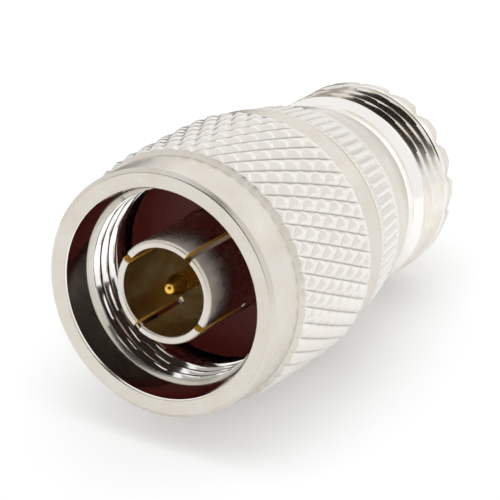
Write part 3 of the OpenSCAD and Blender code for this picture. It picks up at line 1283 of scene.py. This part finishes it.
@dataclass
class SlottedTube:
    """Spring contact: a tube with straight slots from its tip."""

    name: str
    inner_r: float
    outer_r: float
    tip: float
    slot_end: float
    back: Sequence[tuple[float, float]]
    slot_width: float
    slot_turn: float
    slots: int = 4
    # Bevel at the tip, with its width inside and its length outside as shares of it.
    tip_bevel: float = 0.14
    bevel_inside: float = 0.7
    bevel_outside: float = 1.6
    arc_columns: int = 36
    slot_columns: int = 2
    # Rounding of the edges that bend more than the angle.
    edge: float = 0.045
    edge_segments: int = 2
    edge_angle: float = math.radians(28)

    def rows(self) -> tuple[list[tuple[float, float]], int]:
        """Draw the closed profile.

        Returns:
            Its points, from the slot's end on the inside round the tip, and the number of the point at the
            slot's end on the outside.
        """
        bevel = self.tip_bevel if self.slot_end > self.tip else -self.tip_bevel
        tip = [
            (self.inner_r, self.slot_end),
            (self.inner_r, self.tip + bevel),
            (self.inner_r + self.tip_bevel * self.bevel_inside, self.tip),
            (self.outer_r - self.tip_bevel, self.tip),
            (self.outer_r, self.tip + bevel * self.bevel_outside),
            (self.outer_r, self.slot_end),
        ]
        return tip + list(self.back), len(tip) - 1

    def points(self, rows: Sequence[tuple[float, float]]) -> np.ndarray:
        """Turn the profile's points round the axis, with columns at the slots' walls.

        Args:
            rows: Points of the profile.

        Returns:
            All points, row by row.
        """
        pitch = TURN / self.slots
        points = []
        for r, z in rows:
            half = math.asin(min(1.0, self.slot_width / 2 / r))
            for slot in range(self.slots):
                centre = self.slot_turn + slot * pitch
                angles = [centre - half + 2 * half * k / self.slot_columns for k in range(self.slot_columns)]
                arc = pitch - 2 * half
                angles += [centre + half + arc * k / self.arc_columns for k in range(self.arc_columns)]
                points += [(r * math.cos(a), r * math.sin(a), z) for a in angles]
        return np.array(points)

    def mesh(self) -> Mesh:
        """Build the tube as one closed mesh.

        Returns:
            The mesh, with a material number for outside, slot walls and bore.
        """
        rows, outside = self.rows()
        per_slot = self.arc_columns + self.slot_columns
        columns = per_slot * self.slots
        faces: list[tuple[int, ...]] = []
        numbers: list[int] = []
        for i in range(len(rows)):
            n = (i + 1) % len(rows)
            for j in range(columns):
                if i < outside and j % per_slot < self.slot_columns:
                    continue
                k = (j + 1) % columns
                faces.append((i * columns + j, i * columns + k, n * columns + k, n * columns + j))
                numbers.append((TubeFace.BORE if i == 0 or n == 0 else TubeFace.OUTSIDE).value)
        for slot in range(self.slots):
            left = slot * per_slot
            right = left + self.slot_columns
            faces.append(tuple(i * columns + left for i in range(outside + 1)))
            faces.append(tuple(i * columns + right for i in reversed(range(outside + 1))))
            numbers += [TubeFace.WALL.value] * 2
            for j in range(left, right):
                faces.append((j, outside * columns + j, outside * columns + j + 1, j + 1))
                numbers.append(TubeFace.OUTSIDE.value)
        mesh = smooth_mesh(self.name, self.points(rows), faces)
        mesh.polygons.foreach_set("material_index", numbers)
        work = bmesh.new()
        work.from_mesh(mesh)
        bmesh.ops.recalc_face_normals(work, faces=work.faces)
        work.to_mesh(mesh)
        work.free()
        return mesh

    def build(self, outer: Material, walls: Material, bore: Material) -> Object:
        """Make the tube with rounded edges.

        Args:
            outer: Finish of the outside.
            walls: Finish of the slots' walls.
            bore: Finish of the bore.

        Returns:
            The piece, not yet handed over.
        """
        piece = new_piece(self.mesh(), outer, walls, bore)
        bevel = piece.modifiers.new("edges", "BEVEL")
        bevel.width, bevel.segments = self.edge * MM, self.edge_segments
        bevel.limit_method, bevel.angle_limit = "ANGLE", self.edge_angle
        piece.modifiers.new("flats", "WEIGHTED_NORMAL")
        settle(piece)
        return piece


@dataclass
class PlugContacts:
    """Slotted sleeve, gold pin and socket."""

    seats: Seats = Seats()
    sleeve_tip: float = 0.43
    slot_length: float = 6.4
    slot_width: float = 0.5
    slot_turn: float = math.radians(46)
    # Pin with a nose that is round to 75 degrees and then tapers to the pin's width.
    pin_tip: float = 1.1
    pin_nose: float = 1.4
    pin_round: float = 0.6
    pin_columns: int = 96
    nose_r: float = 0.5
    nose_rows: int = 11
    nose_step: float = math.radians(7.5)
    taper_from: float = 0.8
    foot_round: float = 0.03
    step_round: float = 0.05
    # Socket, with a wall between its floor and the pin's step. Its rear core is a share of the step.
    socket_in: float = 2.0
    socket_tip: float = 31.9
    socket_bevel: float = 0.25
    socket_depth: float = 9.0
    socket_wall: float = 0.4
    socket_core: float = 0.6
    socket_slot_length: float = 5.0
    socket_turn: float = math.radians(20)

    @property
    def socket_floor(self) -> float:
        """Height of the socket's floor."""
        return self.socket_tip - self.socket_depth

    def sleeve(self) -> SlottedTube:
        """Size the plug's sleeve.

        Returns:
            The sleeve, with the flange that sits in the body.
        """
        at = self.seats
        return SlottedTube(
            "slotted_sleeve",
            inner_r=at.sleeve_in,
            outer_r=at.sleeve_out,
            tip=self.sleeve_tip,
            slot_end=self.sleeve_tip + self.slot_length,
            back=[
                (at.sleeve_out, at.seat),
                (at.bore_r, at.seat),
                (at.bore_r, at.plug_end),
                (at.sleeve_in, at.plug_end),
            ],
            slot_width=self.slot_width,
            slot_turn=self.slot_turn,
        )

    def socket(self) -> SlottedTube:
        """Size the jack's socket.

        Returns:
            The socket.
        """
        at = self.seats
        core = at.step_r * self.socket_core
        return SlottedTube(
            "centre_socket",
            inner_r=self.socket_in,
            outer_r=at.socket_r,
            tip=self.socket_tip,
            slot_end=self.socket_tip - self.socket_slot_length,
            back=[
                (at.socket_r, at.socket_z),
                (core, at.socket_z),
                (core, self.socket_floor),
                (self.socket_in, self.socket_floor),
            ],
            slot_width=self.slot_width,
            slot_turn=self.socket_turn,
            tip_bevel=self.socket_bevel,
        )

    def pin(self) -> Mesh:
        """Turn the plug's pin.

        Returns:
            The pin with its round nose and the step that carries the socket.
        """
        at, end = self.seats, self.socket_floor - self.socket_wall
        nose = []
        for i in range(self.nose_rows):
            angle = i * self.nose_step
            height = self.pin_tip + self.nose_r * (1 - math.cos(angle))
            nose.append(Row(self.nose_r * math.sin(angle), height, polish=1.0))
        shaft = profile_rows(
            [
                Corner(0, self.pin_tip),
                Corner(self.nose_r, self.pin_tip),
                Corner(at.pin_r, self.pin_tip + self.pin_nose, self.pin_round),
                Corner(at.pin_r, at.step_z, self.foot_round),
                Corner(at.step_r, at.step_z, self.step_round),
                Corner(at.step_r, end, self.step_round),
                Corner(0, end),
            ]
        )
        tail = [row for row in shaft if row.z > self.pin_tip + self.taper_from * self.pin_nose]
        return turn_mesh("centre_pin", nose + tail, self.pin_columns)

    def build(self, finishes: Finishes) -> None:
        """Make sleeve, pin and socket, and hand them over.

        Args:
            finishes: All finishes.
        """
        gold = finishes.gold
        sleeve = self.sleeve().build(finishes.nickel, finishes.brass, finishes.flash)
        hand_over(sleeve, Body.ADAPTER, "outer_contact")
        for piece in (new_piece(self.pin(), gold), self.socket().build(gold, gold, gold)):
            hand_over(piece, Body.ADAPTER, "centre_contact")


@dataclass
class SoftRings:
    """Gasket and the two insulators."""

    seats: Seats = Seats()
    columns: int = 128
    gasket_out: float = 7.7
    gasket_face: float = 8.6
    gasket_round: float = 0.2
    gasket_lip: float = 0.1
    gasket_foot: float = 0.05
    front_length: float = 4.0
    face: float = 29.8
    face_round: float = 0.12
    # Ridge of the rear insulator round the socket.
    ridge: float = 1.2
    ridge_wall: float = 1.0
    ridge_round: float = 0.15
    ridge_foot: float = 0.1

    def gasket(self) -> Profile:
        """Draw the gasket, on the body's front face.

        Returns:
            Its profile.
        """
        inner_r, seat = self.seats.sleeve_out, self.seats.seat
        return [
            Corner(inner_r, self.gasket_face, self.gasket_lip),
            Corner(self.gasket_out, self.gasket_face, self.gasket_round),
            Corner(self.gasket_out, seat, self.gasket_round),
            Corner(inner_r, seat, self.gasket_foot),
        ]

    def front(self) -> Profile:
        """Draw the front insulator, in the sleeve.

        Returns:
            Its profile.
        """
        at, start = self.seats, self.seats.plug_end - self.front_length
        return [
            Corner(at.pin_r, start, self.face_round),
            Corner(at.sleeve_in, start, self.face_round),
            Corner(at.sleeve_in, at.plug_end),
            Corner(at.step_r, at.plug_end),
            Corner(at.step_r, at.step_z),
            Corner(at.pin_r, at.step_z),
        ]

    def rear(self) -> Profile:
        """Draw the rear insulator, in the body and the jack.

        Returns:
            Its profile.
        """
        at, top, ridge_r = self.seats, self.face + self.ridge, self.seats.socket_r + self.ridge_wall
        return [
            Corner(at.step_r, at.plug_end),
            Corner(at.bore_r, at.plug_end),
            Corner(at.bore_r, at.ledge),
            Corner(at.jack_bore_r, at.ledge),
            Corner(at.jack_bore_r, self.face, self.face_round),
            Corner(ridge_r, self.face, self.ridge_foot),
            Corner(ridge_r, top, self.ridge_round),
            Corner(at.socket_r, top, self.ridge_foot),
            Corner(at.socket_r, at.socket_z),
            Corner(at.step_r, at.socket_z),
        ]

    def build(self, finishes: Finishes) -> None:
        """Make the three rings and hand them over.

        Args:
            finishes: All finishes.
        """
        gasket = turned_piece("seal_ring", self.gasket(), self.columns, finishes.rubber)
        hand_over(gasket, Body.ADAPTER, "gasket")
        front = turned_piece("plug_insulator", self.front(), self.columns, finishes.plastic)
        hand_over(front, Body.ADAPTER, "front_insulator")
        rear = turned_piece("jack_insulator", self.rear(), self.columns, finishes.plastic)
        hand_over(rear, Body.ADAPTER, "rear_insulator")


def dress_ring(nickel: Material) -> None:
    """Give the retaining ring, which shows as its solid, its finish.

    Args:
        nickel: Finish of the ring.
    """
    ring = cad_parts["retaining_ring"]
    ring.data.materials.clear()
    ring.data.materials.append(nickel)
    LOG.info("retaining_ring: its solid, dressed")


# Studio


@dataclass(frozen=True)
class Lamp:
    """Soft lamp, in millimetres right of, above and nearer than the rim's centre.

    Its glow is the brightness of its face, where 1 is as bright as the white surroundings, and mirrored says
    whether bright metal shows the lamp itself.
    """

    name: str
    place: tuple[float, float, float]
    along: tuple[float, float, float]
    size: tuple[float, float]
    glow: float
    mirrored: bool = True


@dataclass
class Studio:
    """Camera, table and light, placed in the picture's own directions round the nut's rim."""

    # Tilt of the adapter's axis from the line of sight, and the way that it leans in the picture.
    tilt: float = math.radians(34.933)
    lean: float = math.radians(30.255)
    # Centre of the nut's rim from the camera, in millimetres: right, down and away.
    rim_centre: tuple[float, float, float] = (-6.6492, 3.2962, 294.2729)
    lens: float = 288.0
    sensor: float = 36.0
    clip: tuple[float, float] = (0.01, 10.0)
    # The adapter lies on the knurl's rear edge and the toothed rim, so the nut's front stands a little off
    # the table.
    table_up: tuple[float, float, float] = (0.0, 0.875, 0.484)
    table_gap: float = 12.16
    table_size: float = 900.0
    paper: str = "#f5f6f7"
    paper_glow: float = 0.19
    # Extra glow of the paper that only bright metal shows: painted light in its reflections.
    paper_metal_glow: float = 0.28
    # Dark card beside the camera and pale grey card at the left, painted shade that only bright metal shows:
    # place, size and colour.
    camera_card: tuple[float, float, float] = (-290.0, 100.0, 480.0)
    camera_card_size: tuple[float, float] = (620.0, 620.0)
    camera_card_tone: str = "#2b2622"
    left_card: tuple[float, float, float] = (-528.0, 228.0, 162.0)
    left_card_size: tuple[float, float] = (300.0, 260.0)
    left_card_tone: str = "#c2bfba"
    # Grey strip that lies on the table behind the adapter, painted shade of the table there that only bright
    # metal shows, from the rim's centre: how far away, how far to the left, how far off the table, its size
    # and colour.
    shade_from: float = 52.0
    shade_left: float = 22.0
    shade_lift: float = 0.2
    shade_size: tuple[float, float] = (400.0, 80.0)
    shade_tone: str = "#8f8d8a"
    # White of the surroundings, and what of it falls on matt surfaces.
    white: str = "#ffffff"
    white_level: float = 1.0
    soft_level: float = 0.8
    # Lamps, and the height on the adapter's axis that they look at.
    aim: float = 12.0
    lamps: tuple[Lamp, ...] = (
        Lamp("strip_softbox", (148, 238, -168), (0.87, -0.24, 0.43), (360, 110), glow=0.2),
        Lamp("right_softbox", (290, 130, -160), (0.48, 0, 0.87), (240, 170), glow=0.15),
        Lamp("key_softbox", (0, 367, 203), (1, 0, 0), (300, 300), glow=1.2, mirrored=False),
    )

    def axes(self) -> Matrix:
        """Work out the row frame's axes in the picture.

        Returns:
            Matrix that turns a direction of the picture (right, down, away) into the row frame.
        """
        flat = math.sin(self.tilt)
        away = Vector((flat * math.cos(self.lean), -flat * math.sin(self.lean), math.cos(self.tilt)))
        across = away.cross(Vector((0, 1, 0))).normalized()
        upward = away.cross(across)
        return Matrix((-across, -upward, away))

    def direction(self, right: float, up: float, near: float) -> Vector:
        """Direction of the picture in the row frame."""
        return self.axes() @ Vector((right, -up, -near))

    def place(self, right: float, up: float, near: float) -> Vector:
        """Point in the row frame, in metres, from millimetres right, up and near from the rim's centre."""
        return self.direction(right, up, near) * MM

    def camera(self) -> None:
        """Put the camera where the photograph was taken."""
        data = bpy.data.cameras.new("camera")
        data.lens, data.sensor_width = self.lens, self.sensor
        data.clip_start, data.clip_end = self.clip
        camera = bpy.data.objects.new("camera", data)
        right, up, near = (self.direction(*v) for v in ((1, 0, 0), (0, 1, 0), (0, 0, 1)))
        turn = Matrix((right, up, near)).transposed()
        where = self.axes() @ -Vector(self.rim_centre) * MM
        camera.matrix_world = Matrix.Translation(where) @ turn.to_4x4()
        bpy.context.scene.collection.objects.link(camera)
        bpy.context.scene.camera = camera

    def sheet(
        self,
        name: str,
        centre: Vector,
        normal: Vector,
        along: Vector,
        size: tuple[float, float],
        finish: Material,
    ) -> Object:
        """Make a flat oblong of the stage.

        Args:
            name: Name of the object.
            centre: Its middle, in metres.
            normal: Direction that it faces.
            along: Direction of its first side, square to the normal.
            size: Length of its two sides, in millimetres.
            finish: Its material.

        Returns:
            The object.
        """
        first, second = along * size[0] / 2, normal.cross(along) * size[1] / 2
        corners = [centre / MM + first * x + second * y for x, y in ((-1, -1), (1, -1), (1, 1), (-1, 1))]
        mesh = smooth_mesh(name, np.array([tuple(c) for c in corners]), [(0, 1, 2, 3)])
        sheet = new_piece(mesh, finish)
        return sheet

    def table_paper(self) -> Material:
        """Make white paper that glows a little for the camera and more for bright metal's reflections, keeps
        shadows, and is clear from behind.

        Returns:
            The material.
        """
        material, tree = blank_material("table_paper")
        ray = add_node(tree, "ShaderNodeLightPath").outputs
        paper = add_node(tree, "ShaderNodeBsdfDiffuse", {"Color": linear(self.paper)})
        level = add_node(tree, MATH, {0: ray["Is Camera Ray"], 1: self.paper_glow}, operation="MULTIPLY")
        # Painted light: the paper glows more in bright metal's reflections than for the camera.
        metal_glow = {0: ray["Is Glossy Ray"], 1: self.paper_metal_glow, 2: level}
        total = add_node(tree, MATH, metal_glow, operation="MULTIPLY_ADD")
        glow = add_node(tree, "ShaderNodeEmission", {"Strength": total})
        front = add_node(tree, "ShaderNodeAddShader", {0: paper, 1: glow})
        clear = add_node(tree, "ShaderNodeBsdfTransparent")
        behind = add_node(tree, "ShaderNodeNewGeometry").outputs["Backfacing"]
        both = add_node(tree, "ShaderNodeMixShader", {0: behind, 1: front, 2: clear})
        add_node(tree, "ShaderNodeOutputMaterial", {"Surface": both})
        return material

    def matt_card(self, name: str, colour: str) -> Material:
        """Make matt card: what a bright metal shows of the unlit side of a studio.

        Args:
            name: Name of the material.
            colour: Colour as hex.

        Returns:
            The material.
        """
        material, tree = blank_material(name)
        card = add_node(tree, "ShaderNodeBsdfDiffuse", {"Color": linear(colour)})
        add_node(tree, "ShaderNodeOutputMaterial", {"Surface": card})
        return material

    def stage(self) -> None:
        """Lay the table under the adapter and hang cards that only bright metal shows."""
        up = self.direction(*self.table_up).normalized()
        right = self.direction(1, 0, 0)
        away = up.cross(right).normalized()
        table_size = (self.table_size, self.table_size)
        self.sheet("table", -up * self.table_gap * MM, up, right, table_size, self.table_paper())

        # Dark and pale cards: painted shade of the studio's unlit sides, seen only in bright metal.
        black = self.matt_card("dark_card", self.camera_card_tone)
        ahead = self.direction(0, 0, -1)
        centre = self.place(*self.camera_card)
        dark = self.sheet("camera_card", centre, ahead, right, self.camera_card_size, black)

        aside = self.place(*self.left_card)
        facing = -aside.normalized()
        level = facing.cross(self.direction(0, 1, 0)).normalized()
        pale = self.matt_card("pale_grey_card", self.left_card_tone)
        wall = self.sheet("left_card", aside, facing, level, self.left_card_size, pale)

        # Grey strip: painted shade of the table behind the adapter, seen only in bright metal.
        far = self.shade_from + self.shade_size[0] / 2
        behind = (away * far - right * self.shade_left - up * (self.table_gap - self.shade_lift)) * MM
        grey = self.matt_card("grey_card", self.shade_tone)
        strip = self.sheet("shade_card", behind, up, away, self.shade_size, grey)
        for card in (dark, wall, strip):
            card.visible_camera = card.visible_shadow = card.visible_diffuse = False

    def hang(self, lamp: Lamp) -> None:
        """Hang one soft lamp that looks at the adapter.

        Args:
            lamp: The lamp.
        """
        data = bpy.data.lights.new(lamp.name, "AREA")
        data.shape, data.size, data.size_y = "RECTANGLE", lamp.size[0] * MM, lamp.size[1] * MM
        data.energy = lamp.glow * math.pi * data.size * data.size_y
        hung = bpy.data.objects.new(lamp.name, data)
        where = self.place(*lamp.place)
        back = (where - Vector((0, 0, self.aim * MM))).normalized()
        across = back.cross(self.direction(*lamp.along)).normalized()
        turn = Matrix((across.cross(back), across, back)).transposed()
        hung.matrix_world = Matrix.Translation(where) @ turn.to_4x4()
        hung.visible_camera = False
        hung.visible_glossy = lamp.mirrored
        bpy.context.scene.collection.objects.link(hung)

    def light(self) -> None:
        """Make white surroundings and hang the lamps."""
        world = bpy.data.worlds.new("studio")
        world.use_nodes = True
        tree = world.node_tree
        tree.nodes.clear()
        ray = add_node(tree, "ShaderNodeLightPath").outputs
        sharp = add_node(tree, MATH, {0: ray["Is Camera Ray"], 1: ray["Is Glossy Ray"]}, operation="MAXIMUM")
        seen = add_node(tree, MATH, {0: sharp, 1: ray["Is Transmission Ray"]}, operation="MAXIMUM")
        soft, white = (
            add_node(tree, "ShaderNodeBackground", {"Color": linear(self.white), "Strength": level})
            for level in (self.soft_level, self.white_level)
        )
        both = add_node(tree, "ShaderNodeMixShader", {0: seen, 1: soft, 2: white})
        add_node(tree, "ShaderNodeOutputWorld", {"Surface": both})
        bpy.context.scene.world = world
        for lamp in self.lamps:
            self.hang(lamp)

    def build(self) -> None:
        """Set up camera, stage and light."""
        self.camera()
        self.stage()
        self.light()
        bpy.context.scene.view_settings.view_transform = "Standard"


def main() -> None:
    """Build all pieces in order."""
    logging.basicConfig(level=logging.INFO, format="%(name)s: %(message)s")
    finishes = Finishes()
    for part in (CouplingNut(), AdapterBody(), PlugContacts(), SoftRings()):
        part.build(finishes)
    dress_ring(finishes.nickel)
    Studio().build()


if __name__ == "__main__":
    main()
